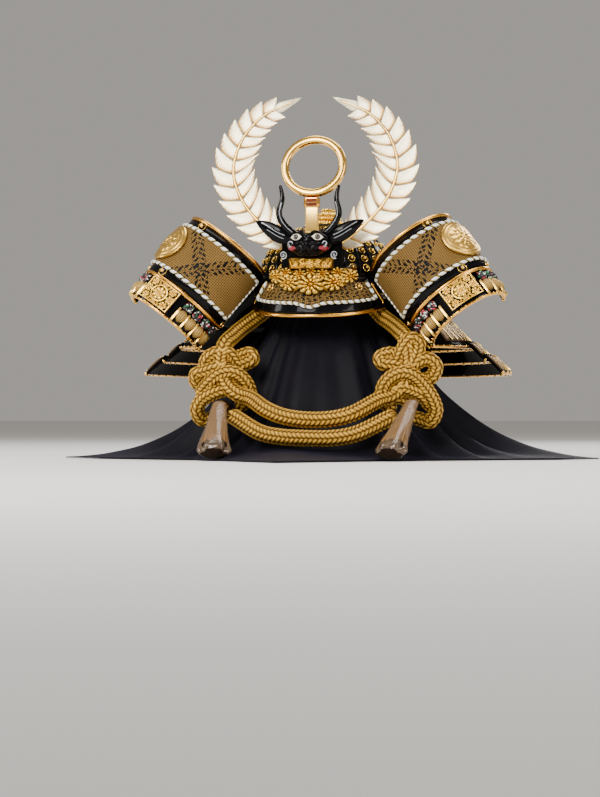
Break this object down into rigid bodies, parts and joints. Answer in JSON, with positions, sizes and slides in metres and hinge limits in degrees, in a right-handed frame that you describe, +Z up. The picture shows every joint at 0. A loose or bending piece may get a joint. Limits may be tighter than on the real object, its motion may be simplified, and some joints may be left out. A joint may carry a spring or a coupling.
{
  "type": "miniature kabuto helmet on a cloth-covered display stand",
  "caption": "Miniature samurai helmet with fern crests, a ring crest, a horned mask, turned-back panels, a laced neck guard and knotted gold cords, on a cloth-covered display stand.",
  "frame": {"origin": "on the floor, under the middle of the stand", "axes": "+X to the right of a viewer who faces the helmet, -Y is the way the helmet looks, +Z up"},
  "size_m": [0.4166, 0.4166, 0.2773],
  "materials": {
    "pale_wood": "plain turned wood, hidden under the cloth",
    "navy_silk": "dark navy silk with a soft sheen on its folds",
    "black_lacquer": "glossy black lacquer",
    "gold": "polished gold plate",
    "pale_gold": "bright pale gold plate with fine engraved veins",
    "amber": "dark amber, clear coated",
    "printed_leather": "tan leather with fine dots and black arabesque bands",
    "silk_lacing": "cream and gold silk lacing",
    "gold_braid": "gold braided silk",
    "clear_sleeve": "clear sleeve over a brown and gold tassel"
  },
  "bodies": {
    "root": {"stand_core": "pale_wood", "stand_cloth": "navy_silk", "bowl": "black_lacquer", "bowl_band": "black_lacquer", "crown_fitting": "gold", "visor": "black_lacquer", "visor_rim": "gold", "crest_base": "gold", "mouth_plate": "gold", "demon_mask": "black_lacquer", "crest_post": "gold", "crest_cap": "amber", "crest_ring": "gold", "fern_right": "pale_gold", "fern_left": "pale_gold", "neck_lame_1": "black_lacquer", "neck_lame_2": "black_lacquer", "neck_lame_3": "black_lacquer", "neck_lame_4": "black_lacquer", "lacing_1": "silk_lacing", "lacing_2": "silk_lacing", "lacing_3": "silk_lacing", "lacing_4": "silk_lacing", "turnback_leather_right": "printed_leather", "turnback_leather_left": "printed_leather", "turnback_rim_top_right": "gold", "turnback_rim_top_left": "gold", "turnback_rim_bottom_right": "gold", "turnback_rim_bottom_left": "gold", "crest_disc_right": "gold", "crest_disc_left": "gold", "openwork_plate_right": "gold", "openwork_plate_left": "gold", "cord_drop_left": "gold_braid", "cord_drop_right": "gold_braid", "cord_cross_upper": "gold_braid", "cord_cross_lower": "gold_braid", "knot_left": "gold_braid", "tassel_sleeve_left": "clear_sleeve", "knot_right": "gold_braid", "tassel_sleeve_right": "clear_sleeve"}
  },
  "joints": []
}
